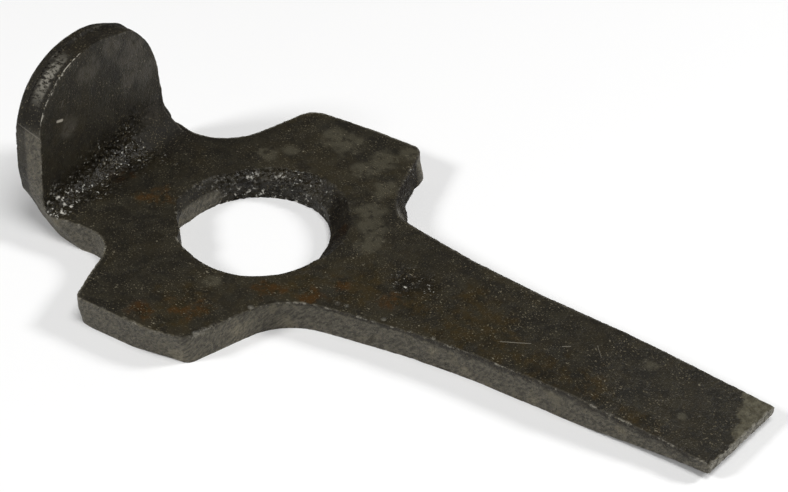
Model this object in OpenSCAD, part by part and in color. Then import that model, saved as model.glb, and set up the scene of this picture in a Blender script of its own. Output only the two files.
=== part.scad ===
// Rock hammer head: a flat plate with a round eye and two lugs, a poll turned
// up square at one end and a long blade that thins to a blunt edge at the other.
// Frame: origin at the centre of the eye on the underside of the plate, +X
// towards the blade's edge, +Z up, the side that the poll stands on. Millimetres.

/* [Plate] */
// Thickness of the plate
plate_t = 7.2; // [6.5:0.1:8]
// Sideways place of the lugs' and the blade's centre line from the eye
plan_shift = 1.4; // [0:0.1:2]

/* [Eye] */
// Radius of the handle eye
eye_r = 18.8; // [17:0.1:19.5]
// Radius of the worn lip at the top of the eye
lip_r = 20.8; // [20.5:0.1:22]
// Depth of the worn lip
lip_depth = 4; // [2:0.5:5]
// Place of the lip's centre towards the blade
lip_x = 2.1; // [0:0.1:2.5]
// Place of the lip's centre towards the far lug
lip_y = 1.5; // [0:0.1:2]

/* [Lugs] */
// Reach of each lug sideways from the centre line
lug_reach = 44.7; // [42:0.1:48]
// Radius of the inner corners between a lug and the neck
neck_fillet = 12; // [8:1:13]
// Radius of the inner corners between a lug and the blade
blade_fillet = 12; // [8:1:12]

/* [Blade] */
// Half of the blade's width over its straight part
blade_half = 11.7; // [10:0.1:13]
// Distance from the eye's centre to the middle of the cutting edge
blade_reach = 124.8; // [115:0.1:130]
// How far the far corner of the edge leads the near corner
edge_skew = 3; // [0:0.5:4]
// Radius of the long curve that narrows the blade
waist_r = 260; // [200:10:260]
// Where the blade starts to thin
taper_start = 91; // [85:1:100]
// Thickness of the cutting edge
edge_t = 1.8; // [1:0.1:3]

/* [Poll] */
// Thickness of the poll, with its laid face
poll_t = 7.8; // [7:0.1:9]
// Radius of the round end of the poll
poll_r = 21.3; // [19:0.1:23]
// Height of the poll's top above the underside of the plate
poll_height = 41.5; // [38:0.1:44]
// Distance from the eye's centre to the poll's striking side
poll_reach = 50.2; // [48:0.1:52]
// Sideways place of the poll and neck from the eye
poll_shift = -2; // [-3:0.1:0]
// Outer radius of the bend
bend_r = 13; // [11:0.5:14]
// Radius in the inner crease of the bend at the near side of the neck
crease_near_r = 1.2; // [0.6:0.2:3]
// Radius in the inner crease of the bend at the far side of the neck
crease_far_r = 8; // [5:1:9]
// Lean of the bend's near side, which tucks in under the neck, in degrees
bend_tuck = 17; // [0:1:20]
// Thickness of the steel face laid on the poll
face_t = 2.8; // [2:0.1:3.5]
// How much wider the laid face has spread than the poll behind it
face_spread = 0.9; // [0.2:0.1:1.2]
// Width of the chamfer round the face's rim
face_chamfer = 1; // [0.4:0.1:1.6]

/* [Bit] */
// Length of bare steel at the cutting edge, beyond the scarf
bit_bare = 7; // [6:0.5:14]
// Thickness of the bit's back edge
bit_shoulder = 0.6; // [0.4:0.1:1]

/* [Hidden] */
$fn = 96;

big = 200;
crease_x = poll_t - poll_reach;
face_x = face_t - poll_reach;
poll_z = poll_height - poll_r;
near = -1;
far = 1;
root_x = 60;
neck_near = -24.2;
neck_far = 20.8;
splay_z = 9.7;
// The crease's fillet grows in proportion to the distance from its apex
crease_growth = (crease_far_r - crease_near_r) / (neck_far - neck_near);
crease_apex_y = neck_near - crease_near_r / crease_growth;
crease_run = neck_far - crease_apex_y;
// Centre of the laid face's round end
face_y = poll_shift + 0.6;
face_z = poll_z - 0.3;
face_r = poll_r + face_spread;
near_tip_x = blade_reach - edge_skew / 2;
far_tip_x = blade_reach + edge_skew / 2;
// The top face gives up more of the thickness than the underside does
top_share = 0.63;
taper_loss = plate_t - edge_t;
edge_top = plate_t - top_share * taper_loss;
edge_bottom = (1 - top_share) * taper_loss;
scarf_x = blade_reach - bit_bare;

function side(s, reach) = plan_shift + s * reach;

// Height of the blade's upper face at a place along it
function blade_top(x) = plate_t - (plate_t - edge_top) * (x - taper_start) / (far_tip_x - taper_start);

// One corner of an outline, rounded by an arc that touches both of its sides
function unit(v) = v / norm(v);
function arc_corner(a, b, c) =
    let (r = b[2], p = [b[0], b[1]])
    let (u = unit([a[0], a[1]] - p), w = unit([c[0], c[1]] - p))
    let (half = acos(u * w) / 2, mid = unit(u + w), centre = p + mid * r / sin(half))
    let (start = p + u * r / tan(half), sweep = 180 - 2 * half)
    let (spin = u[0] * w[1] - u[1] * w[0] > 0 ? -1 : 1, steps = max(3, ceil(sweep / 6)))
    [for (i = [0 : steps])
        let (t = spin * sweep * i / steps, d = start - centre)
        centre + [d[0] * cos(t) - d[1] * sin(t), d[0] * sin(t) + d[1] * cos(t)]];

// An outline from corners [x, y, radius]; a corner of radius 0 stays sharp
function rounded(pts) =
    let (n = len(pts))
    [for (i = [0 : n - 1])
        each pts[i][2] == 0
            ? [[pts[i][0], pts[i][1]]]
            : arc_corner(pts[(i + n - 1) % n], pts[i], pts[(i + 1) % n])];

// Plan of the plate, from the neck on the near side round to the neck again
plan_corners = [
    [-poll_reach, neck_near, 0],
    [-39, neck_near, 12],
    [-22.4, -22.2, neck_fillet - 2],
    [-15.8, side(near, lug_reach), 2.5],
    [6, side(near, lug_reach - 0.4), 30],
    [14, side(near, lug_reach - 2.3), 3],
    [22.2, -18, blade_fillet + 2],
    [root_x, side(near, blade_half), waist_r],
    [near_tip_x, side(near, blade_half), 0],
    [far_tip_x, side(far, blade_half), 0],
    [root_x, side(far, blade_half), waist_r],
    [24, 20.8, blade_fillet - 2],
    [16.4, side(far, lug_reach - 0.3), 4],
    [2, side(far, lug_reach), 60],
    [-16.3, side(far, lug_reach - 1.3), 6],
    [-24.3, neck_far, neck_fillet + 2],
    [-poll_reach, neck_far, 0]
];

module plan() {
    polygon(rounded(plan_corners));
}

// Outline of the poll seen along X: a round end on slightly splayed sides
module poll_outline() {
    translate([poll_shift, poll_z])
        circle(r = poll_r);
    polygon([
        [neck_near, 0],
        [neck_far, 0],
        [neck_far, splay_z],
        [poll_shift + poll_r, poll_z],
        [poll_shift - poll_r, poll_z],
        [neck_near, splay_z]
    ]);
}

// Side view of the body in X and Z: the plate up to the bit's scarf, the bend,
// and the part of the poll that backs the laid face
module body_profile() {
    difference() {
        union() {
            translate([-poll_reach, 0])
                square([poll_reach + taper_start, plate_t]);
            translate([-poll_reach, 0])
                square([poll_t, bend_r]);
            translate([face_x, 0])
                square([poll_t - face_t, poll_height + 1]);
            polygon([
                [taper_start, bit_shoulder],
                [scarf_x, blade_top(scarf_x)],
                [taper_start, plate_t]
            ]);
        }
        difference() {
            translate([-poll_reach - 1, -1])
                square(bend_r + 1);
            translate([bend_r - poll_reach, bend_r])
                circle(r = bend_r);
        }
    }
}

// Side view of the bit: a wedge that lies under the blade and comes up
// through it just behind the cutting edge
module bit_profile() {
    polygon([
        [taper_start, 0],
        [far_tip_x, edge_bottom],
        [far_tip_x, edge_top],
        [scarf_x, blade_top(scarf_x)],
        [taper_start, bit_shoulder]
    ]);
}

// Sweeps a side view along Y, over the whole width
module across() {
    translate([0, big / 2, 0])
        rotate([90, 0, 0])
            linear_extrude(big)
                children();
}

// Sweeps the poll's outline along X between two places
module along(x0, x1) {
    translate([x0, 0, 0])
        rotate([90, 0, 90])
            linear_extrude(x1 - x0)
                children();
}

// The plate and the poll in one, cut to the side view
module blank() {
    intersection() {
        across() body_profile();
        union() {
            linear_extrude(plate_t)
                plan();
            along(-poll_reach, crease_x)
                poll_outline();
        }
    }
}

// A triangle that widens from the crease's apex to the far side of the neck,
// cut a little short of the lines where the fillet runs out
module crease_triangle() {
    polygon([
        [0, 0],
        [0.93 * crease_growth * crease_run, crease_run],
        [-1, crease_run],
        [-1, 0]
    ]);
}

// Metal in the inner crease: a fillet that widens towards the far side
module crease_fill() {
    k = crease_growth;
    slope = asin(k / sqrt(1 + 2 * k * k));
    reach = crease_run * 1.2;
    translate([crease_x, crease_apex_y, plate_t])
        difference() {
            intersection() {
                translate([0, 0, -1])
                    linear_extrude(big)
                        crease_triangle();
                translate([-1, 0, 0])
                    rotate([90, 0, 90])
                        linear_extrude(big)
                            mirror([1, -1])
                                crease_triangle();
                translate([-1, crease_near_r / k, -1])
                    cube([big, neck_far - neck_near - 1.5, big]);
            }
            rotate([0, acos(k / sqrt(1 + 2 * k * k)), atan2(1, k)])
                cylinder(r1 = 0, r2 = reach * tan(slope), h = reach);
        }
}

module eye_cut() {
    translate([0, 0, -1])
        cylinder(r = eye_r, h = plate_t + 2);
    translate([lip_x, lip_y, plate_t - lip_depth])
        cylinder(r1 = lip_r - 1.1 * lip_depth, r2 = lip_r + 1.1, h = lip_depth + 1);
}

// The bend's outer metal was drawn in as it stretched: one flat cut that
// starts at the near end of the crease and runs out along the neck
module tuck_cut() {
    intersection() {
        translate([crease_x, neck_near, plate_t])
            rotate([bend_tuck, 0, -bend_tuck / 2])
                translate([-big / 2, -big, -big / 2])
                    cube(big);
        translate([-big, -big / 2, -big / 2])
            cube([big - 29, big, big]);
    }
}

module head_body() {
    color([0.17, 0.16, 0.14])
        difference() {
            union() {
                blank();
                crease_fill();
            }
            eye_cut();
            tuck_cut();
        }
}

// Cuts the rim of the face back to a cone above its widest line
module rim_chamfer() {
    wide = face_r - face_chamfer - 1;
    difference() {
        translate([-poll_reach - 1, -big / 2, face_z])
            cube([face_chamfer + 1, big, big]);
        translate([-poll_reach - 1, face_y, face_z])
            rotate([0, 90, 0])
                cylinder(r1 = wide, r2 = face_r, h = face_chamfer + 1);
    }
}

// Outline of the laid face: the poll's own, spread at the round end by use
module face_outline() {
    poll_outline();
    translate([face_y, face_z])
        circle(r = face_r);
}

module poll_face() {
    color([0.27, 0.25, 0.21])
        difference() {
            intersection() {
                along(-poll_reach, face_x) face_outline();
                translate([-poll_reach, -big / 2, bend_r])
                    cube([face_t, big, poll_height]);
            }
            rim_chamfer();
        }
}

module blade_bit() {
    color([0.36, 0.34, 0.29])
        intersection() {
            across() bit_profile();
            linear_extrude(plate_t) plan();
        }
}

head_body();
poll_face();
blade_bit();
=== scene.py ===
"""A forged rock hammer head: the looks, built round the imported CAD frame.

Lengths are in millimetres unless a comment says otherwise, in the part's own frame: the origin is the
centre of the eye on the underside of the plate, +X points to the cutting edge, +Z is up.
"""

import math

import bmesh
import bpy
import numpy as np
from mathutils import Matrix, Vector, kdtree, noise
from mathutils.bvhtree import BVHTree


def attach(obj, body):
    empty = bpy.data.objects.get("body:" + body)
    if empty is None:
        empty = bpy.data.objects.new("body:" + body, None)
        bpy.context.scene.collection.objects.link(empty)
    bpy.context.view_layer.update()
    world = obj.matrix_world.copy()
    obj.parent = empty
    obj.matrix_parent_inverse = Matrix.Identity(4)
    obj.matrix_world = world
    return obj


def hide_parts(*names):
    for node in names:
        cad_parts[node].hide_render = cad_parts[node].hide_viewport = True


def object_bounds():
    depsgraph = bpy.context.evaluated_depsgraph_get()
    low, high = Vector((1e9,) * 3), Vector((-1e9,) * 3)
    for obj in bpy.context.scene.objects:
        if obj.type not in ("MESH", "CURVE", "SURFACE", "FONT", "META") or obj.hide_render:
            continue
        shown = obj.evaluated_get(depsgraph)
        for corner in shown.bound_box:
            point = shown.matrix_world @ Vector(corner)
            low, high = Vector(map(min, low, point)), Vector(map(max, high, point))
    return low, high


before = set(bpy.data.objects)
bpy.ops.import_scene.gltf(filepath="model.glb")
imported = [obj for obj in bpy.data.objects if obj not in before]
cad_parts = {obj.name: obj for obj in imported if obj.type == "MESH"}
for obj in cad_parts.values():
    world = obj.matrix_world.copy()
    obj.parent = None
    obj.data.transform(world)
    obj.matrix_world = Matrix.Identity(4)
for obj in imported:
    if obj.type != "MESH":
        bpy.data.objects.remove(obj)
cad_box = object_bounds()
MM = 0.001

# Places that the CAD model sets
PLATE_TOP = 7.2
CREASE_X = -42.4
FACE_SEAM_X = -47.4
FACE_SEAM_Z = 13.0
NECK_NEAR = -24.2
NECK_FAR = 20.8
TAPER_START = 91.0
EDGE_X = 126.3
EDGE_TOP = 3.8
EDGE_MIDDLE = (124.8, 1.4)
EDGE_SKEW = 0.128
SCARF_START = (TAPER_START, 0.6)
SCARF_END = (117.8, 4.62)
POLL_CENTRE = (-1.4, 19.9)
SPLAY_Z = 9.7
HEAD_LOW, HEAD_HIGH = (np.array(corner) / MM for corner in cad_box)

# Size of the cells that the fine skin is made from
VOXEL = 0.5
# A CAD edge that turns by more than this stays a crisp corner
CORNER_ANGLE = math.radians(32)
# How near to a corner a point of the skin is moved onto it
SNAP = 0.62 * VOXEL


# ---------------------------------------------------------------- small helpers

def ramp(value, low, high):
    """0 below low, 1 above high, smooth between."""
    t = np.clip((value - low) / (high - low), 0.0, 1.0)
    return t * t * (3.0 - 2.0 * t)


def fade(value, low, high):
    """1 below low, 0 above high, smooth between."""
    return 1.0 - ramp(value, low, high)


def hump(value, centre, half_width):
    """1 at centre, falling smoothly to 0 at half_width either side."""
    return fade(np.abs(value - centre), 0.0, half_width)


def grain(points, size, seed, octaves=3):
    """Fractal noise about 0, roughly -1 to 1, whose largest lumps are size across."""
    shifted = points / size + np.array([seed * 17.3, seed * -9.1, seed * 5.7])
    return np.array([noise.fractal(p, 0.8, 2.1, octaves) for p in shifted.tolist()])


def pebbles(points, size, seed):
    """Rounded lumps, 1 at their middles and 0 in the grooves between."""
    shifted = points / size + np.array([seed * 11.9, seed * 3.3, seed * -7.7])
    nearest = np.array([noise.voronoi(p)[0][:2] for p in shifted.tolist()])
    return np.clip((nearest[:, 1] - nearest[:, 0]) * 1.6, 0.0, 1.0)


class Skin:
    """A closed mesh as arrays, so that its points can be moved together."""

    def __init__(self, mesh):
        self.mesh = mesh
        count = len(mesh.vertices)
        points = np.empty(count * 3)
        mesh.vertices.foreach_get("co", points)
        self.points = points.reshape(-1, 3)
        ends = np.empty(len(mesh.edges) * 2, int)
        mesh.edges.foreach_get("vertices", ends)
        self.ends = ends.reshape(-1, 2)
        self.degree = np.bincount(ends, minlength=count)

    def spread(self, values):
        """Each point's mean over its neighbours."""
        a, b = self.ends.T
        total = np.zeros_like(values)
        for column in range(values.shape[1]):
            total[:, column] = (
                np.bincount(a, values[b, column], len(values))
                + np.bincount(b, values[a, column], len(values))
            )
        return total / self.degree[:, None]

    def store(self):
        """Writes the moved points back to the mesh."""
        self.mesh.vertices.foreach_set("co", self.points.ravel())
        self.mesh.update()

    def normals(self):
        """The direction that the surface faces at each point."""
        self.store()
        normals = np.empty(len(self.points) * 3)
        self.mesh.vertex_normals.foreach_get("vector", normals)
        return normals.reshape(-1, 3)

    def edge_sharpness(self, rounds=4):
        """Above 0 on outer edges, below 0 in hollows, from how the surface turns."""
        normals = self.normals()
        wide = self.points.copy()
        for _ in range(rounds):
            wide = self.spread(wide)
        return ((self.points - wide) * normals).sum(1)


# ---------------------------------------------------------------- camera, light and floor

# The reference view: azimuth, elevation and roll in degrees, the place it aims at, and how far off it is
VIEW_ANGLES = (35.763, 37.685, -1.339)
VIEW_TARGET = (27.14, 18.07, 0.0)
VIEW_DISTANCE = 443.4
VIEW_LENS = 87.06


def add_camera():
    """A long lens at the reference view's angle, aimed a little to the blade's side of the eye."""
    azimuth, elevation, roll = (math.radians(angle) for angle in VIEW_ANGLES)
    target = Vector(VIEW_TARGET) * MM
    back = Vector((
        math.sin(azimuth) * math.cos(elevation),
        -math.cos(azimuth) * math.cos(elevation),
        math.sin(elevation),
    ))
    level = Vector((math.cos(azimuth), math.sin(azimuth), 0.0))
    upright = back.cross(level)
    right = math.cos(roll) * level + math.sin(roll) * upright
    up = back.cross(right)
    camera = bpy.data.cameras.new("camera")
    camera.sensor_width = 36.0
    camera.lens = VIEW_LENS
    camera.clip_start = 0.01
    camera.clip_end = 20.0
    placed = bpy.data.objects.new("camera", camera)
    turn = Matrix((right, up, back)).transposed().to_4x4()
    placed.matrix_world = Matrix.Translation(target + VIEW_DISTANCE * MM * back) @ turn
    bpy.context.scene.collection.objects.link(placed)
    bpy.context.scene.camera = placed


def add_softbox(name, place, size, watts, target=(0.03, 0.0, 0.01)):
    """A round lamp, its place and size in metres, aimed at the head."""
    light = bpy.data.lights.new(name, "AREA")
    light.shape = "DISK"
    light.size = size
    light.energy = watts
    lamp = bpy.data.objects.new(name, light)
    lamp.location = place
    aim = Vector(target) - Vector(place)
    lamp.rotation_euler = aim.to_track_quat("-Z", "Y").to_euler()
    bpy.context.scene.collection.objects.link(lamp)


def add_studio():
    """A pale floor under three soft lamps, in a dim room."""
    world = bpy.data.worlds.new("room")
    world.use_nodes = True
    room = world.node_tree.nodes["Background"]
    room.inputs["Color"].default_value = (1.0, 0.99, 0.97, 1.0)
    room.inputs["Strength"].default_value = 0.10
    bpy.context.scene.world = world
    bpy.context.scene.view_settings.view_transform = "Standard"

    add_softbox("near_left", (-0.60, -0.75, 0.75), 0.30, 6.5)
    add_softbox("far_right", (0.80, 0.75, 0.75), 0.30, 8.5)
    add_softbox("overhead", (0.35, -0.10, 1.15), 0.60, 7.5)

    bpy.ops.mesh.primitive_plane_add(size=6.0)
    floor = bpy.context.object
    floor.name = "floor"
    pale = bpy.data.materials.new("floor")
    pale.use_nodes = True
    shader = pale.node_tree.nodes["Principled BSDF"]
    shader.inputs["Base Color"].default_value = (0.90, 0.90, 0.90, 1.0)
    shader.inputs["Roughness"].default_value = 0.9
    shader.inputs["Specular IOR Level"].default_value = 0.1
    floor.data.materials.append(pale)


# ---------------------------------------------------------------- the forging as one skin

def blank():
    """The whole head as one fine, closed mesh, from copies of the CAD nodes."""
    bm = bmesh.new()
    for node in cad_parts.values():
        bm.from_mesh(node.data)
    bmesh.ops.scale(bm, vec=(1 / MM,) * 3, verts=bm.verts)
    rough = bpy.data.meshes.new("blank")
    bm.to_mesh(rough)
    holder = bpy.data.objects.new("blank", rough)
    bpy.context.scene.collection.objects.link(holder)
    remesh = holder.modifiers.new("remesh", "REMESH")
    remesh.mode = "VOXEL"
    remesh.voxel_size = VOXEL
    seen = holder.evaluated_get(bpy.context.evaluated_depsgraph_get())
    fine = bpy.data.meshes.new_from_object(seen)
    bpy.data.objects.remove(holder)
    skin = Skin(fine)
    surface = BVHTree.FromBMesh(bm)
    skin.points = np.array([surface.find_nearest(p)[0] for p in skin.points.tolist()])
    snap_to_corners(skin, bm)
    bm.free()
    return skin


def snap_to_corners(skin, bm):
    """Moves the points beside a sharp CAD edge onto it."""
    bmesh.ops.remove_doubles(bm, verts=bm.verts, dist=0.001)
    marks = []
    for edge in bm.edges:
        if len(edge.link_faces) == 2 and edge.calc_face_angle() > CORNER_ANGLE:
            a, b = (vert.co for vert in edge.verts)
            steps = max(1, int(edge.calc_length() / 0.1))
            marks += [a.lerp(b, i / steps) for i in range(steps + 1)]
    tree = kdtree.KDTree(len(marks))
    for index, mark in enumerate(marks):
        tree.insert(mark, index)
    tree.balance()
    for index, point in enumerate(skin.points.tolist()):
        mark, _, distance = tree.find(point)
        if distance < SNAP:
            skin.points[index] = mark


# The eye's outline against the CAD circle: direction in degrees from +X, and how far the wall moves out
EYE_OUTLINE = [
    (-165, -0.1), (-150, -1.1), (-140, -2.0), (-135, -2.1), (-127, -1.0), (-118, -0.9),
    (-105, -1.2), (-90, -1.1), (-60, -0.4), (-30, -0.8), (-10, -1.8), (0, -1.0),
    (15, -0.95), (45, -0.8), (60, 0.0), (75, 0.45), (135, 0.35), (165, 0.0),
]
# Where the lip is worn steep: direction, and the radius of its wall
STEEP_WALL = [(-75.0, 19.2), (-60.0, 20.1), (-45.0, 20.45), (-30.0, 21.0), (0.0, 20.6)]


def shape_eye(skin):
    """Takes the eye out of round: beaten in on its near side, worn steep by the blade, soft by the poll."""
    x, y, z = skin.points.T
    turn = np.degrees(np.arctan2(y, x))
    radius = np.hypot(x, y)
    outward = np.stack([x, y, np.zeros_like(z)], 1) / np.maximum(radius, 1.0)[:, None]
    reach = np.interp(turn, *zip(*EYE_OUTLINE), period=360)
    skin.points += outward * (reach * fade(radius, 20.0, 27.0))[:, None]

    radius = np.hypot(skin.points[:, 0], skin.points[:, 1])
    steep = ramp(turn, -75.0, -35.0) * fade(turn, -14.0, 16.0) * ramp(z, 3.0, 3.8)
    wall = np.interp(turn, *zip(*STEEP_WALL))
    skin.points += outward * (steep * np.maximum(0.0, wall - radius))[:, None]

    soft = np.where(turn < 0, ramp(-turn, 160.0, 172.0), ramp(turn, 140.0, 158.0))
    drawn = 1.6 * ramp(z, 4.0, 7.4) * soft * fade(radius, 19.0, 25.0)
    skin.points += outward * drawn[:, None]


# Y of the flat on the near side of the poll, at the foot of its splay
POLL_FLAT = -24.7


def shape_poll_flat(skin):
    """The near side of the poll was dressed flat, which cuts a little off its round rim."""
    x, y, z = skin.points.T
    splay = 0.162 * (z - SPLAY_Z)
    draft = 0.06 * np.maximum(0.0, -44.0 - x)
    flat = POLL_FLAT + splay + draft
    dressed = (x < -38.0) & (z > 9.0) & (y < flat)
    skin.points[dressed, 1] = flat[dressed]


# Places where the hand work leaves the plain outline: centre, move and reach of each
PUSHES = [
    # bend and poll, near side
    ((-50.0, -23.0, 9.5), (0.0, 1.3, 0.0), 8.0),
    ((-47.0, -23.5, 4.0), (0.0, 0.9, 0.0), 8.0),
    ((-50.0, -23.0, 24.0), (0.0, -0.3, 0.0), 9.0),
    ((-50.0, -16.0, 35.0), (0.0, -0.5, 0.45), 16.0),
    # full far shoulder of the poll
    ((-43.5, 13.5, 34.5), (0.0, 0.8, 0.6), 9.0),
    ((-44.5, 10.5, 38.5), (0.0, 0.6, 0.8), 6.0),
    # far side of the poll, down to the far end of the crease
    ((-42.0, 20.5, 21.0), (0.0, -0.6, 0.0), 8.0),
    ((-42.0, 20.5, 14.0), (0.0, -0.8, 0.0), 5.5),
    ((-41.5, 21.0, 7.0), (0.0, 0.8, 0.2), 7.0),
    # near lug
    ((-15.8, -43.5, 0.0), (0.45, 0.35, 0.0), 4.5),
    ((8.0, -42.0, 0.0), (0.0, 0.6, 0.3), 9.0),
    # far lug
    ((17.0, 43.5, 0.0), (0.8, 0.2, 0.0), 5.5),
    # near lug, neck side
    ((-18.0, -41.0, 7.2), (0.4, 0.1, 0.0), 5.0),
    # corners between the lugs and the blade
    ((24.0, 24.5, 0.0), (2.3, 1.8, 0.0), 9.0),
    ((24.0, -20.0, 3.6), (0.1, -0.5, 0.0), 11.0),
    # sides of the blade
    ((70.0, 13.0, 5.0), (0.0, 0.3, 0.0), 32.0),
    ((114.0, -10.5, 2.0), (0.0, 0.35, 0.0), 18.0),
    ((82.0, -11.0, 2.0), (0.0, -0.3, 0.0), 24.0),
    # poll's side and near side of the eye
    ((-18.5, -4.5, 1.0), (-0.9, -0.2, 0.0), 4.0),
    ((0.0, -19.5, 6.0), (0.0, -0.3, 0.0), 9.0),
]


def push(skin):
    """Moves the skin round each of those places, by a share that falls to 0 at its reach."""
    for centre, move, reach in PUSHES:
        off = np.linalg.norm(skin.points - np.array(centre), axis=1) / reach
        share = np.clip(1.0 - off * off, 0.0, 1.0) ** 2
        skin.points += share[:, None] * np.array(move)


# ---------------------------------------------------------------- relief

# Chips out of the plate's near edges: place and size
CHIPS = [
    ((14.6, -38.0, 7.0), 0.7), ((15.6, -36.4, 7.0), 0.9), ((16.9, -33.9, 7.0), 0.6),
    ((19.0, -24.6, 7.0), 0.5), ((34.2, -13.0, 7.0), 0.55), ((36.2, -12.7, 7.0), 0.5),
    ((45.5, -11.9, 7.0), 0.45), ((58.0, -11.4, 7.0), 0.45), ((103.0, -11.2, 6.0), 0.4),
    ((122.8, -9.9, 3.9), 0.6),
]


def near_places(points, places, low, high, ragged=0.0):
    """1 at each of the places, fading from low to high times its size away."""
    best = np.zeros(len(points))
    for place, size in places:
        off = np.linalg.norm(points - np.array(place), axis=1) / size + ragged
        best = np.maximum(best, fade(off, low, high))
    return best


def chips(points):
    """1 inside each chip."""
    return near_places(points, CHIPS, 0.6, 1.3)


def hammered(points):
    """Broad unevenness left by the hammer, with finer scale on top of it."""
    broad = 0.10 * grain(points, 16.0, 1, 2) + 0.035 * grain(points, 4.5, 2, 3)
    return broad + 0.03 * grain(points, 1.3, 3, 2)


def crusty(points):
    """Lumps of burnt-on scale with deep grooves between them."""
    lumps = 0.6 * pebbles(points, 2.3, 4) + 0.4 * pebbles(points, 1.3, 5) - 0.5
    return 0.75 * lumps + 0.20 * grain(points, 1.6, 6, 2)


def sheared(points):
    """Slanting drag marks on the sides, and one gouge in the near side of the blade's root."""
    x, y, z = points.T
    skew = points @ np.array([[1.0, 0.2, 0.4], [-0.2, 1.0, 0.3], [0.6, -0.3, 0.5]])
    drag = 0.07 * grain(skew, 1.6, 7, 3) + 0.05 * grain(points, 0.9, 9, 2)
    gouge = np.hypot((x - 43.7) - 0.5 * (z - 2.0), 0.45 * (z - 2.0))
    return drag - 0.45 * (y < 0) * fade(gouge, 0.3, 0.9)


def bitten(points, normals, sharp):
    """Small bites and chips out of the outer edges on the near side, deepest along the top."""
    x, y, z = points.T
    near = ramp(-normals[:, 1], -0.2, 0.3) * ramp(np.hypot(x, y), 20.0, 23.0)
    bites = np.maximum(0.0, grain(points, 1.8, 8, 3) - 0.12) * (0.05 + 0.40 * ramp(z, 3.0, 5.0))
    return ramp(sharp, 0.06, 0.22) * near * bites + 0.5 * chips(points) * (x > 0)


def dented(points, normals):
    """Shallow dents in the inner face of the poll."""
    x, y, z = points.T
    inner = ramp(normals[:, 0], 0.8, 0.95) * ramp(z, 22.0, 30.0) * ramp(24.0 - np.abs(y), 8.0, 14.0)
    return 0.35 * inner * np.maximum(0.0, grain(points, 7.0, 12, 2) - 0.25)


def weather(skin):
    """Moves each point along its normal by all the relief that it carries."""
    points = skin.points
    normals = skin.normals()
    masks = surface_masks(points, normals)
    lift = hammered(points) + masks["rough"] * crusty(points) + masks["side"] * sheared(points)
    lift -= bitten(points, normals, skin.edge_sharpness()) + dented(points, normals)
    skin.points += normals * lift[:, None]


# ---------------------------------------------------------------- kinds of surface

def crease_masks(points, normals, ragged):
    """The crusted band in the crease, and the fillet that it lies in, where painted shade darkens the crease.
    """
    x, y, z = points.T
    across = np.clip((y - NECK_NEAR) / (NECK_FAR - NECK_NEAR), 0.0, 1.0)
    off = np.hypot(x - CREASE_X, z - PLATE_TOP) / (5.5 + 9.0 * across) + ragged
    inside = ramp(x, CREASE_X - 1.0, CREASE_X - 0.3) * ramp(z, PLATE_TOP - 1.2, PLATE_TOP - 0.4)
    inside *= fade(np.abs(normals[:, 1]), 0.5, 0.75)
    band = inside * fade(off, 0.25, 1.15) * fade(y + ragged * 12.0, 5.0, 13.0)
    return band, inside * fade(off, 0.5, 1.2)


def eye_masks(points, upright, ragged):
    """The eye's wall: crusted on its far side, with painted shade on its blade side, elsewhere bare below and
    dark above.
    """
    x, y, z = points.T
    turn = np.degrees(np.arctan2(y, x))
    ragged_turn = turn + 14.0 * grain(points, 5.0, 22, 2)
    bore = fade(np.hypot(x, y), 24.0, 26.0) * upright
    poll_end = fade(ragged_turn, 150.0, 164.0)
    crusted = bore * ramp(ragged_turn, 42.0, 62.0) * poll_end
    shaded_side = bore * ramp(ragged_turn, -75.0, -55.0) * poll_end
    shelf = ramp(z + 2.0 * ragged, 3.8, 4.8)
    low = np.maximum(fade(z, 2.6, 4.4), 0.7 * hump(z, 5.8, 1.6))
    # painted shade on the blade side of the eye's wall, weaker further round
    wall_shade = shaded_side * (1.0 - 0.65 * ramp(ragged_turn, 50.0, 75.0))
    return {
        "rough": crusted * (0.35 + 0.65 * ramp(turn, 68.0, 90.0)),
        # where painted glint blobs go, low on the crusted wall
        "painted_glint_blobs": crusted * low * (0.1 + 0.9 * ramp(turn, 72.0, 96.0)),
        # painted shade on the blade side, and the wall darker above its shelf
        "dark": np.maximum(wall_shade, 0.3 * bore * shelf),
        "side": bore * (1.0 - shaded_side) * (1.0 - shelf),
    }


def side_mask(points, normals, upright):
    """The sheared sides of the plate and the dressed flat of the poll, but not the poll's round rim."""
    x, y, z = points.T
    side = upright * ramp(np.hypot(x, y), 22.0, 25.0)
    side *= 1.0 - ramp(np.abs(normals[:, 0]), 0.8, 0.95) * (x < -38.0)
    side *= ramp(x, -47.6, -46.9) * fade(z, 26.0, 30.0)
    return side * np.where(x < -28.0, ramp(np.abs(normals[:, 1]), 0.35, 0.6), 1.0)


def lip_mask(points, normals):
    """The dark, broken line along the upper edge of the blade's sides."""
    x, y, z = points.T
    top = np.interp(x, [TAPER_START, EDGE_X], [PLATE_TOP, EDGE_TOP])
    width = np.maximum(0.2, 0.8 + 0.9 * ramp(x, 30.0, 70.0) + 1.1 * grain(points, 1.6, 23, 3))
    tilted = fade(normals[:, 2], 0.85, 0.97) * fade(x, 118.0, 121.0)
    return tilted * fade(top - z, 0.3 * width, width) * ramp(np.hypot(x, y), 24.0, 26.0) * ramp(x, 5.0, 30.0)


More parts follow.
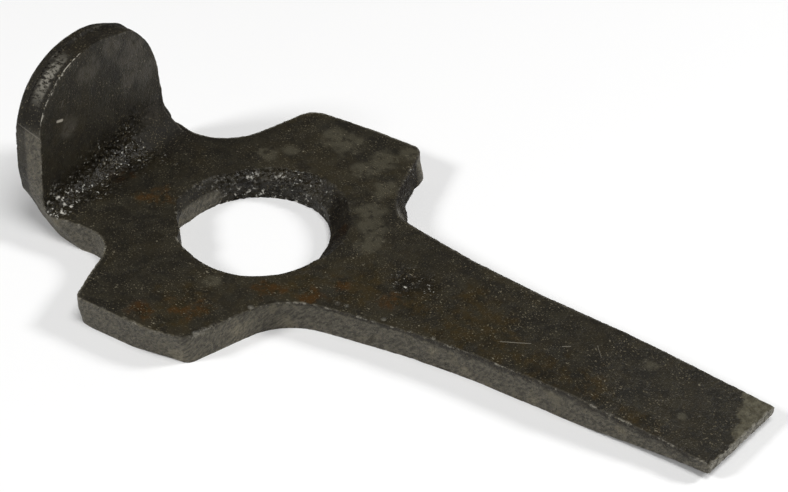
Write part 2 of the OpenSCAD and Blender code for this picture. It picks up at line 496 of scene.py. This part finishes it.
def surface_masks(points, normals):
    """How much each kind of surface shows at each point, from 0 to 1."""
    x, y, z = points.T
    upright = fade(np.abs(normals[:, 2]), 0.72, 0.9)
    ragged = 0.25 * grain(points, 5.0, 21, 3)
    band, fillet_shade = crease_masks(points, normals, ragged)
    eye = eye_masks(points, upright, ragged)
    lip = lip_mask(points, normals)
    pit = fade(np.hypot((x - 44.2) * 0.75, y - 2.2) + ragged * 7.0, 2.2, 5.8) * ramp(normals[:, 2], 0.5, 0.8)
    notch = fade(np.hypot(x - 19.5, y - 32.0), 8.0, 12.0) * upright * (y > 20.0)
    rim = fade(np.abs(normals[:, 0]), 0.5, 0.8) * fade(x, -42.0, -41.5) * ramp(z, 26.5, 28.5)
    return {
        # rough crust, which also carries the painted glints
        "rough": np.maximum.reduce([band, eye["rough"], pit * 0.8, notch * 0.4]),
        # painted glint blobs, in the eye and at the near end of the crease
        "painted_glint_blobs": np.maximum(eye["painted_glint_blobs"], band * fade(y, -20.0, -12.0)),
        # painted shade in the crease's fillet, inside the eye, in the notch and on the poll's rim; darker
        # scale at the pit and along the lip
        "dark": np.maximum.reduce([fillet_shade * 0.45, eye["dark"], pit * 0.6, notch, rim * 0.5, lip * 0.25]),
        "side": np.maximum(side_mask(points, normals, upright), eye["side"]),
        "lip": lip,
        "seam": hump(x, FACE_SEAM_X, 0.9) * ramp(z, 12.0, 13.0),
    }


# ---------------------------------------------------------------- cutting the skin into its pieces

def cutter(name, bm):
    """An object made of the given faces, to cut the skin with."""
    mesh = bpy.data.meshes.new(name)
    bmesh.ops.recalc_face_normals(bm, faces=bm.faces)
    bm.to_mesh(mesh)
    bm.free()
    block = bpy.data.objects.new(name, mesh)
    bpy.context.scene.collection.objects.link(block)
    return block


def face_cutter():
    """A block that holds the steel face laid on the poll."""
    bm = bmesh.new()
    bmesh.ops.create_cube(bm, size=1.0)
    low = np.array([HEAD_LOW[0] - 5.0, -60.0, FACE_SEAM_Z])
    high = np.array([FACE_SEAM_X, 60.0, 60.0])
    for vert in bm.verts:
        vert.co = Vector(((np.array(vert.co) + 0.5) * (high - low) + low).tolist())
    return cutter("face_cutter", bm)


def bit_cutter():
    """A wedge that holds the steel bit; its sloping top is scalloped where it comes out."""
    bm = bmesh.new()
    beyond = 20.0
    slope = (SCARF_END[1] - SCARF_START[1]) / (SCARF_END[0] - SCARF_START[0])
    rows = []
    for y in np.linspace(-30.0, 30.0, 241):
        scallop = 0.12 * abs(math.sin(y * 1.05)) + 0.05 * noise.noise((y * 0.9, 3.0, 1.0))
        outline = [
            (SCARF_START[0], -5.0),
            (SCARF_END[0] + beyond, -5.0),
            (SCARF_END[0] + beyond, SCARF_END[1] + slope * beyond - scallop),
            (SCARF_START[0], SCARF_START[1] - scallop * 0.3),
        ]
        rows.append([bm.verts.new((px, y, pz)) for px, pz in outline])
    for a, b in zip(rows, rows[1:]):
        for i in range(4):
            j = (i + 1) % 4
            bm.faces.new((a[i], a[j], b[j], b[i]))
    bm.faces.new(rows[0])
    bm.faces.new(rows[-1])
    return cutter("bit_cutter", bm)


def crumbs(bm, most=60):
    """The faces of every island of at most that many faces."""
    found = []
    unseen = set(bm.faces)
    while unseen:
        front = [unseen.pop()]
        island = []
        while front:
            face = front.pop()
            island.append(face)
            for edge in face.edges:
                for other in edge.link_faces:
                    if other in unseen:
                        unseen.discard(other)
                        front.append(other)
        if len(island) <= most:
            found += island
    return found


def drop_slivers(mesh):
    """Welds coincident points and drops the folded faces and loose crumbs that this leaves."""
    bm = bmesh.new()
    bm.from_mesh(mesh)
    bmesh.ops.remove_doubles(bm, verts=bm.verts, dist=0.004)
    bmesh.ops.dissolve_degenerate(bm, edges=bm.edges, dist=0.002)
    bmesh.ops.triangulate(bm, faces=bm.faces)
    folded = {}
    for face in bm.faces:
        folded.setdefault(frozenset(face.verts), []).append(face)
    doubled = [face for faces in folded.values() if len(faces) > 1 for face in faces]
    bmesh.ops.delete(bm, geom=doubled, context="FACES")
    bmesh.ops.delete(bm, geom=crumbs(bm), context="FACES")
    bm.to_mesh(mesh)
    bm.free()


def piece_from(skin, name, keep, drop):
    """A copy of the skin, kept inside one cutter and outside the others."""
    piece = bpy.data.objects.new(name, skin.mesh.copy())
    bpy.context.scene.collection.objects.link(piece)
    for operation, blocks in (("INTERSECT", keep), ("DIFFERENCE", drop)):
        for block in blocks:
            cut = piece.modifiers.new("cut", "BOOLEAN")
            cut.object = block
            cut.operation = operation
            cut.solver = "MANIFOLD"
    seen = piece.evaluated_get(bpy.context.evaluated_depsgraph_get())
    final = bpy.data.meshes.new_from_object(seen)
    final.name = name
    drop_slivers(final)
    piece.modifiers.clear()
    piece.data = final
    return piece


# ---------------------------------------------------------------- painted masks

# Stains on the upper side: X, Y and size of each
RUST = [
    (-24.5, -5.0, 3.5), (-0.5, -38.5, 3.0), (5.5, -33.0, 3.5), (10.0, -31.5, 3.0),
    (18.5, -18.0, 3.5), (27.5, -14.0, 3.0), (17.5, 9.5, 2.5), (43.5, -6.5, 3.0),
    (31.0, -8.0, 2.5), (-37.0, -3.0, 2.5),
]
BROWN = [
    (60.0, -6.0, 6.0), (71.0, -6.0, 6.0), (82.0, -7.0, 6.0), (93.0, -6.0, 5.0),
    (106.0, -7.0, 4.0), (59.0, 4.0, 5.0), (24.0, -13.0, 6.0), (35.0, -6.0, 7.0),
    (-24.5, -5.0, 5.0), (6.0, -33.0, 7.0), (48.0, -3.0, 6.0), (66.0, -2.0, 7.0),
]
OLIVE = [
    (-10.0, 27.5, 2.4), (-0.5, 37.5, 4.5), (-5.0, 39.0, 3.5), (11.5, 37.0, 4.5),
    (10.0, 31.0, 3.5), (18.5, 27.0, 3.5), (20.5, 18.5, 3.5), (24.0, 14.0, 4.0),
    (6.0, -22.0, 2.2), (100.0, 7.5, 1.7), (112.5, -1.2, 1.1), (28.0, 8.0, 3.5),
    (-14.0, 24.0, 3.0), (15.0, 42.0, 3.0),
]
# Lighter patches on the poll's inner face: Y, Z and size of each
PALE = [
    (10.5, 32.5, 4.5), (14.0, 26.0, 3.5), (8.0, 26.5, 2.5), (-4.0, 35.0, 3.5),
    (14.5, 13.5, 4.0), (4.0, 37.5, 3.0), (-13.0, 25.0, 2.5),
]
# Bright rubbed patches on the sheared sides: place and size of each
GLOWS = [
    ((20.0, -29.5, 3.0), 3.5), ((58.5, -11.4, 4.2), 1.4), ((66.0, -11.0, 1.6), 1.5),
    ((24.5, -20.0, 2.0), 2.5), ((83.0, -10.8, 2.0), 1.8), ((12.0, -42.0, 1.5), 2.5),
]
# Where the scale has gone from the far end of the cutting edge: Y, and how far back from the edge
BARE_PATCH = [
    (-0.8, 0.0), (0.6, 2.2), (1.6, 2.1), (3.4, 2.7), (5.1, 2.3), (6.0, 4.3),
    (7.7, 4.9), (9.2, 4.7), (10.9, 5.8), (12.0, 6.9), (12.9, 7.2),
]
# A scuff on the poll's rim: centre and half sizes
SCUFF = ((-47.0, -20.6, 27.0), (3.0, 1.5, 0.7))


def spots(plane_points, places, ragged):
    """Soft round patches on a plane."""
    return near_places(plane_points, [((a, b), size) for a, b, size in places], 0.45, 1.25, ragged)


def stain_masks(points, normals, ragged):
    """Rust, brown and olive stains on the upper side, and pale patches inside the poll."""
    top = ramp(normals[:, 2], 0.5, 0.8)
    inner = ramp(normals[:, 0], 0.7, 0.9) * (points[:, 0] < -38.0)
    return {
        "rust": top * spots(points[:, :2], RUST, ragged),
        "brown": top * spots(points[:, :2], BROWN, ragged),
        "olive": top * spots(points[:, :2], OLIVE, ragged * 0.7),
        "pale": inner * spots(points[:, 1:], PALE, ragged * 0.7),
    }


def poll_wear(points, normals):
    """The worn crescent and the scuff on the poll's rim, and the burr along its inner corner."""
    x, y, z = points.T
    turn = np.degrees(np.arctan2(z - POLL_CENTRE[1], y - POLL_CENTRE[0]))
    radius = np.hypot(y - POLL_CENTRE[0], z - POLL_CENTRE[1])
    rim = fade(np.abs(normals[:, 0]), 0.5, 0.8) * fade(x, -41.8, -41.0)
    crescent = ramp(x, -47.0, -46.3) * fade(x, -44.3, -43.6) * hump(turn, 125.0, 24.0)
    scuff = fade(np.linalg.norm((points - np.array(SCUFF[0])) / SCUFF[1], axis=1), 0.3, 1.0)
    burr = (x < -41.0) * (x > -44.0) * ramp(radius, 20.9, 21.2)
    burr *= ramp(turn, 90.0, 106.0) * fade(turn, 148.0, 160.0)
    return rim * np.maximum(crescent, scuff), burr


def wear_masks(points, normals, sharp, side, ragged):
    """Steel worn bright or bare: on the poll's rim, the edges, the sides and the cutting edge; also a painted
    highlight on the cutting edge's end face.
    """
    x, y, _ = points.T
    rubbed, burr = poll_wear(points, normals)
    at_edge = ramp(x, 120.0, 121.0)
    lead = EDGE_MIDDLE[0] + (y - EDGE_MIDDLE[1]) * EDGE_SKEW - x
    depth = np.interp(y, *zip(*BARE_PATCH))
    patch = ramp(depth - lead, -0.2, 0.2) * (y > BARE_PATCH[0][0]) * ramp(x, 110.0, 111.0)
    # painted highlight on the end face of the cutting edge
    lit_end_face = ramp(normals[:, 0], 0.45, 0.75) * at_edge
    return {
        "glow": side * near_places(points, GLOWS, 0.4, 1.2, ragged * 0.6),
        "edge": ramp(sharp, 0.08, 0.26) * (0.35 + 0.65 * ramp(-y, -6.0, 4.0)),
        "burr": burr,
        # worn rim and chips, and the painted highlight on the end face
        "bright": np.maximum.reduce([rubbed * 0.6, chips(points) * 0.45, lit_end_face * 0.5]),
        "bare": np.maximum(patch, ramp(normals[:, 0], 0.55, 0.8) * at_edge),
    }


def nearest_points(points, skin):
    """For each point, which point of the skin is nearest to it."""
    tree = kdtree.KDTree(len(skin.points))
    for index, point in enumerate(skin.points.tolist()):
        tree.insert(point, index)
    tree.balance()
    return [tree.find(point)[1] for point in points.tolist()]


def paint(piece, skin):
    """Stores the masks that the materials read, as one value per point each."""
    mesh = piece.data
    points = np.empty(len(mesh.vertices) * 3)
    mesh.vertices.foreach_get("co", points)
    points = points.reshape(-1, 3)
    nearest = nearest_points(points, skin)
    normals = skin.normals()[nearest]
    sharp = skin.edge_sharpness()[nearest]
    ragged = 0.75 * grain(points, 3.0, 31, 4)
    masks = surface_masks(points, normals)
    masks.update(stain_masks(points, normals, ragged))
    masks.update(wear_masks(points, normals, sharp, masks["side"], ragged))
    for name, values in masks.items():
        layer = mesh.attributes.new("mask_" + name, "FLOAT", "POINT")
        layer.data.foreach_set("value", values.astype(np.float32))


# ---------------------------------------------------------------- materials

class Graph:
    """A short way to write a material's nodes. Places in it are in millimetres."""

    def __init__(self, name):
        self.material = bpy.data.materials.new(name)
        self.material.use_nodes = True
        self.tree = self.material.node_tree
        self.shader = self.tree.nodes["Principled BSDF"]
        place = self.add("ShaderNodeTexCoord").outputs["Object"]
        self.place = self.vector("SCALE", place, scale=1 / MM)
        self.colour = None

    def add(self, kind, **settings):
        """A new node with the given settings."""
        node = self.tree.nodes.new(kind)
        for key, value in settings.items():
            setattr(node, key, value)
        return node

    def plug(self, socket, value):
        """Links another node's output to a socket, or sets the socket to a constant."""
        if isinstance(value, bpy.types.NodeSocket):
            self.tree.links.new(value, socket)
        else:
            socket.default_value = value

    def math(self, operation, a, b=0.0, clamp=False):
        """One operation on numbers."""
        node = self.add("ShaderNodeMath", operation=operation, use_clamp=clamp)
        self.plug(node.inputs[0], a)
        self.plug(node.inputs[1], b)
        return node.outputs[0]

    def product(self, *values):
        """All the numbers multiplied together."""
        result = values[0]
        for value in values[1:]:
            result = self.math("MULTIPLY", result, value)
        return result

    def vector(self, operation, a, b=None, scale=None):
        """One operation on vectors."""
        node = self.add("ShaderNodeVectorMath", operation=operation)
        self.plug(node.inputs[0], a)
        if b is not None:
            self.plug(node.inputs[1], b)
        if scale is not None:
            self.plug(node.inputs["Scale"], scale)
        return node.outputs["Value" if operation in ("DOT_PRODUCT", "LENGTH") else "Vector"]

    def stretch(self, factors):
        """The place, stretched along each axis."""
        return self.vector("MULTIPLY", self.place, factors)

    def turned(self, axis, degrees, factors):
        """The place, turned about an axis and then stretched."""
        node = self.add("ShaderNodeVectorRotate", rotation_type="AXIS_ANGLE")
        self.plug(node.inputs["Vector"], self.place)
        node.inputs["Axis"].default_value = axis
        node.inputs["Angle"].default_value = math.radians(degrees)
        return self.vector("MULTIPLY", node.outputs["Vector"], factors)

    def along(self, axis):
        """One coordinate of the place: 0 for X, 1 for Y, 2 for Z."""
        node = self.add("ShaderNodeSeparateXYZ")
        self.plug(node.inputs[0], self.place)
        return node.outputs[axis]

    def noise(self, size, detail=3, rough=0.55, where=None):
        """Cloudy noise from 0 to 1 whose largest lumps are size across."""
        node = self.add("ShaderNodeTexNoise")
        self.plug(node.inputs["Vector"], where or self.place)
        node.inputs["Scale"].default_value = 1 / size
        node.inputs["Detail"].default_value = detail
        node.inputs["Roughness"].default_value = rough
        return node.outputs["Fac"]

    def cells(self, size):
        """Distance to the middle of the nearest of many cells."""
        node = self.add("ShaderNodeTexVoronoi", feature="F1")
        self.plug(node.inputs["Vector"], self.place)
        node.inputs["Scale"].default_value = 1 / size
        return node.outputs["Distance"]

    def window(self, value, low, high):
        """0 at low, 1 at high, smooth between."""
        node = self.add("ShaderNodeMapRange", interpolation_type="SMOOTHSTEP")
        self.plug(node.inputs["Value"], value)
        node.inputs["From Min"].default_value = low
        node.inputs["From Max"].default_value = high
        return node.outputs["Result"]

    def clumps(self, size, low, high, **settings):
        """Patches of about that size, where a noise rises above low; they are full where it is above high."""
        return self.window(self.noise(size, **settings), low, high)

    def mask(self, name):
        """One of the masks painted on the piece."""
        return self.add("ShaderNodeAttribute", attribute_name="mask_" + name).outputs["Fac"]

    def mix(self, share, a, b):
        """Colour a, going over to colour b by share."""
        node = self.add("ShaderNodeMix", data_type="RGBA")
        self.plug(node.inputs["Factor"], share)
        first, second = (socket for socket in node.inputs if socket.type == "RGBA")
        for socket, colour in ((first, a), (second, b)):
            self.plug(socket, (*colour, 1.0) if isinstance(colour, tuple) else colour)
        return next(socket for socket in node.outputs if socket.type == "RGBA")

    def blend(self, share, a, b):
        """Number a, going over to number b by share."""
        node = self.add("ShaderNodeMix", data_type="FLOAT")
        self.plug(node.inputs["Factor"], share)
        self.plug(node.inputs["A"], a)
        self.plug(node.inputs["B"], b)
        return node.outputs["Result"]

    def over(self, colour, *shares):
        """Lays a colour over the material's own, by the product of the shares."""
        self.colour = self.mix(self.product(*shares), self.colour, colour)

    def scratch(self, start, end, width):
        """1 on a thin line between two places, 0 away from it."""
        run = Vector(end) - Vector(start)
        off = self.vector("SUBTRACT", self.place, start)
        along = self.vector("DOT_PRODUCT", off, tuple(run / run.length_squared))
        held = self.math("MULTIPLY", along, 1.0, clamp=True)
        rest = self.vector("SUBTRACT", off, self.vector("SCALE", tuple(run), scale=held))
        return self.window(self.vector("LENGTH", rest), width, 0.4 * width)


# Colours of the steel and of the painted shade, sparkle, glints and highlight, in linear red, green and blue
FLAKES = (0.024, 0.0205, 0.011)
BROWN_STAIN = (0.033, 0.021, 0.005)
RUST_STAIN = (0.046, 0.020, 0.004)
OLIVE_STAIN = (0.057, 0.051, 0.033)
PALE_SCALE = (0.055, 0.048, 0.036)
SIDE_DARK = (0.044, 0.039, 0.029)
SIDE_LIGHT = (0.150, 0.135, 0.099)
SIDE_MOTTLE = (0.074, 0.067, 0.050)
SIDE_WARM = (0.150, 0.132, 0.090)
SIDE_GLOW = (0.20, 0.176, 0.122)
LIP_LINE = (0.022, 0.018, 0.012)
# painted shade in the hollows, also darker scale at the pit
PAINTED_SHADE_AND_DARK_SCALE = (0.0065, 0.0052, 0.0048)
BARE_DARK = (0.044, 0.038, 0.022)
BARE_LIGHT = (0.095, 0.087, 0.058)
# painted sparkle: light specks that stand in for tiny glints of the scale
FINE_PAINTED_SPARKLE = (0.125, 0.106, 0.066)
COARSE_PAINTED_SPARKLE = (0.17, 0.15, 0.105)
PORE = (0.005, 0.004, 0.003)
WORN_EDGE = (0.30, 0.28, 0.23)
# worn bright steel, and a painted highlight on the cutting edge's end face
WORN_STEEL_AND_HIGHLIGHT = (0.36, 0.34, 0.285)
# painted glints: light spots that stand in for reflections in the rough crust
PAINTED_GLINT = (0.52, 0.51, 0.46)
PAINTED_CRUST_GLINT = (0.56, 0.54, 0.48)
BURR = (0.34, 0.32, 0.27)
SCRATCH = (0.38, 0.35, 0.29)
SEAM = (0.008, 0.007, 0.006)

# Single scratches and nicks: start, end, width and how bright
SCRATCHES = [
    ((70.4, -4.2, 7.2), (76.1, -1.2, 7.2), 0.16, 0.35),
    ((82.2, 1.7, 7.2), (83.6, 2.7, 7.2), 0.16, 0.35),
    ((88.2, 6.1, 7.2), (90.8, 3.2, 7.2), 0.10, 0.25),
    ((-49.5, -21.6, 28.4), (-42.5, -22.2, 26.7), 0.25, 0.3),
    ((-42.4, -16.0, 28.2), (-42.4, -14.6, 27.8), 0.48, 0.9),
    ((-42.4, -14.4, 31.2), (-42.4, -13.5, 32.4), 0.20, 0.15),
]


def lay_scale(g, dark, warm, flakes):
    """Mill scale: dark and warm clouds, blacker patches and lighter flakes."""
    g.colour = g.mix(g.clumps(19.0, 0.40, 0.60), dark, warm)
    black = tuple(0.45 * part for part in dark)
    g.over(black, g.clumps(5.0, 0.42, 0.60, detail=5, rough=0.6), 0.7)
    g.over(FLAKES, flakes, 0.5)


def lay_stains(g):
    """Brown, rust and olive stains, and the pale patches inside the poll."""
    blotched = g.clumps(2.8, 0.40, 0.62, detail=5, rough=0.7)
    patchy = g.clumps(1.9, 0.30, 0.50, detail=4, rough=0.6)
    g.over(BROWN_STAIN, g.mask("brown"), blotched, 0.7)
    g.over(RUST_STAIN, g.mask("rust"), blotched, 0.7)
    g.over(OLIVE_STAIN, g.mask("olive"), patchy, 0.75)
    g.over(PALE_SCALE, g.mask("pale"), patchy, 0.8)


def lay_sides(g, hair, mottle):
    """Sheared sides: light and dark streaks, mottled, with warm patches and rubbed places."""
    side = g.mix(hair, SIDE_DARK, SIDE_LIGHT)
    side = g.mix(g.product(mottle, 0.4), side, SIDE_MOTTLE)
    side = g.mix(g.clumps(4.5, 0.55, 0.72), side, SIDE_WARM)
    g.over(side, g.mask("side"))
    g.over(SIDE_GLOW, g.mask("glow"), g.blend(hair, 0.3, 0.9))


def lay_shade_and_bare_steel(g):
    """The dark lip line, painted shade in the hollows with darker scale at the pit, and bare steel at the
    cutting edge.
    """
    g.over(LIP_LINE, g.mask("lip"), 0.8)
    # painted shade in the hollows, and darker scale at the pit
    g.over(PAINTED_SHADE_AND_DARK_SCALE, g.mask("dark"), 0.85)
    bare = g.mix(g.clumps(1.4, 0.35, 0.7, detail=4), BARE_DARK, BARE_LIGHT)
    g.over(bare, g.mask("bare"))


def lay_specks(g):
    """Fine and coarse light specks, painted sparkle for tiny glints of the scale, that crowd together in
    places, and dark pores.
    """
    crowd = g.blend(g.clumps(8.0, 0.35, 0.65), 0.35, 1.0)
    # painted sparkle, fine and coarse
    g.over(FINE_PAINTED_SPARKLE, g.clumps(0.42, 0.60, 0.68, detail=2, rough=0.6), crowd)
    coarse = g.clumps(0.85, 0.70, 0.73, detail=2, rough=0.5, where=g.stretch((0.9, 1.2, 1.0)))
    g.over(COARSE_PAINTED_SPARKLE, coarse, crowd)
    pore = g.clumps(0.55, 0.58, 0.70, detail=2, rough=0.6, where=g.stretch((1.3, 1.3, 1.3)))
    g.over(PORE, pore, 0.7)


def lay_worn_steel_highlight_and_glints(g):
    """Worn edges and rims, a painted highlight on the cutting edge's end face, and painted glints in the
    rough crust.
    """
    g.over(WORN_EDGE, g.mask("edge"), g.clumps(1.5, 0.53, 0.62, detail=4, rough=0.7), 0.7)
    ragged = g.clumps(0.9, 0.40, 0.56, detail=4, rough=0.7, where=g.stretch((0.5, 1.0, 1.0)))
    # worn bright steel, and a painted highlight on the cutting edge's end face
    g.over(WORN_STEEL_AND_HIGHLIGHT, g.mask("bright"), ragged)
    cluster = g.clumps(4.5, 0.40, 0.60, rough=0.6)
    # painted glints in the rough crust
    g.over(PAINTED_GLINT, g.mask("rough"), g.clumps(0.75, 0.64, 0.69, detail=2, rough=0.5), cluster)
    # painted glint blobs in the crust
    glint_blobs = g.product(g.clumps(1.4, 0.56, 0.66), g.clumps(3.8, 0.38, 0.55, detail=2))
    g.over(PAINTED_CRUST_GLINT, g.mask("painted_glint_blobs"), glint_blobs)


def lay_lines(g):
    """The burr along the poll's inner corner, single scratches, and the weld line of the laid face."""
    off_corner = g.math("ABSOLUTE", g.math("SUBTRACT", g.along(0), CREASE_X - 0.2))
    broken = g.clumps(1.3, 0.46, 0.58, rough=0.6)
    g.over(BURR, g.mask("burr"), g.window(off_corner, 0.20, 0.08), broken)
    for start, end, width, bright in SCRATCHES:
        g.over(SCRATCH, g.scratch(start, end, width), bright)
    g.over(SEAM, g.mask("seam"), 0.25)


def set_gloss(g):
    """How the scale shines: glossier on rough crust, dull in rust and under the painted shade."""
    gloss = g.blend(g.mask("rough"), g.blend(g.noise(3.0), 0.42, 0.62), 0.30)
    gloss = g.blend(g.mask("dark"), gloss, g.blend(g.mask("rough"), 0.80, 0.40))
    gloss = g.blend(g.mask("rust"), gloss, 0.85)
    g.plug(g.shader.inputs["Roughness"], gloss)
    g.shader.inputs["Metallic"].default_value = 0.0
    g.shader.inputs["IOR"].default_value = 1.5
    rusty = g.math("MAXIMUM", g.mask("rust"), g.product(g.mask("brown"), 0.6))
    shine = g.blend(g.mask("dark"), g.blend(rusty, 0.34, 0.12), 0.05)
    g.plug(g.shader.inputs["Specular IOR Level"], shine)


def set_relief(g, flakes, hair, mottle):
    """Relief too fine for the mesh: grit, flakes, streaks on the sides and lumps in the crust."""
    grit = g.product(g.noise(0.8, rough=0.7), 0.8)
    dust = g.product(g.noise(0.35, detail=2, rough=0.6), 0.7)
    height = g.math("ADD", g.math("ADD", grit, dust), g.product(flakes, 0.2))
    height = g.math("ADD", height, g.product(hair, g.mask("side"), 0.5))
    height = g.math("ADD", height, g.product(mottle, g.mask("side"), 0.6))
    height = g.math("SUBTRACT", height, g.product(g.cells(1.1), g.mask("rough"), 2.6))
    bump = g.add("ShaderNodeBump")
    bump.inputs["Strength"].default_value = 1.0
    bump.inputs["Distance"].default_value = 0.14 * MM
    g.plug(bump.inputs["Height"], height)
    g.plug(g.shader.inputs["Normal"], bump.outputs["Normal"])


def forged_steel(name, dark, warm):
    """Mill scale over forged steel, with rust, worn edges and rough glossy places, and painted shade,
    sparkle, glints and highlight.
    """
    g = Graph(name)
    flakes = g.clumps(3.2, 0.50, 0.58, detail=5, rough=0.65)
    slanting = g.turned((0.6, -0.8, 0.0), 55.0, (1.3, 1.3, 0.35))
    hair = g.clumps(0.75, 0.36, 0.64, detail=4, rough=0.65, where=slanting)
    mottle = g.clumps(0.6, 0.36, 0.64, detail=5, rough=0.7)
    lay_scale(g, dark, warm, flakes)
    lay_stains(g)
    lay_sides(g, hair, mottle)
    lay_shade_and_bare_steel(g)
    lay_specks(g)
    lay_worn_steel_highlight_and_glints(g)
    lay_lines(g)
    g.plug(g.shader.inputs["Base Color"], g.colour)
    set_gloss(g)
    set_relief(g, flakes, hair, mottle)
    return g.material


# ---------------------------------------------------------------- assembly

# The dark and the warm tone of the scale
BODY_TONES = ((0.0132, 0.0106, 0.0050), (0.0205, 0.0156, 0.0060))
FACE_TONES = ((0.017, 0.0140, 0.0072), (0.024, 0.0190, 0.0085))
# Above this angle between two faces, the edge is shaded sharp
SHADING_ANGLE = math.radians(40)
# How far the skin is kept inside the CAD box
CLEARANCE = 0.01


def forge():
    """The worked skin of the whole head."""
    skin = blank()
    shape_eye(skin)
    shape_poll_flat(skin)
    push(skin)
    weather(skin)
    skin.points = np.clip(skin.points, HEAD_LOW + CLEARANCE, HEAD_HIGH - CLEARANCE)
    skin.store()
    return skin


def finish_piece(piece, skin, look):
    """Paints a piece, gives it its material and brings it to metres."""
    paint(piece, skin)
    mesh = piece.data
    mesh.materials.clear()
    mesh.materials.append(look)
    mesh.polygons.foreach_set("use_smooth", [True] * len(mesh.polygons))
    mesh.polygons.foreach_set("material_index", [0] * len(mesh.polygons))
    mesh.set_sharp_from_angle(angle=SHADING_ANGLE)
    mesh.transform(Matrix.Scale(MM, 4))
    mesh.update()


def build_head():
    """Cuts the skin into the three pieces and hands each of them to the frame."""
    skin = forge()
    face_block, bit_block = face_cutter(), bit_cutter()
    pieces = {
        "head_body": piece_from(skin, "forged_body", [], [face_block, bit_block]),
        "poll_face": piece_from(skin, "laid_poll_face", [face_block], []),
        "blade_bit": piece_from(skin, "laid_blade_bit", [bit_block], []),
    }
    looks = {
        "head_body": forged_steel("forged_scale", *BODY_TONES),
        "poll_face": forged_steel("face_scale", *FACE_TONES),
        "blade_bit": forged_steel("bit_steel", *BODY_TONES),
    }
    for node, piece in pieces.items():
        finish_piece(piece, skin, looks[node])
        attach(piece, "root")
        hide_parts(node)
        print(piece.name, len(piece.data.polygons), "faces")
    for block in (face_block, bit_block):
        bpy.data.objects.remove(block)


add_camera()
add_studio()
build_head()
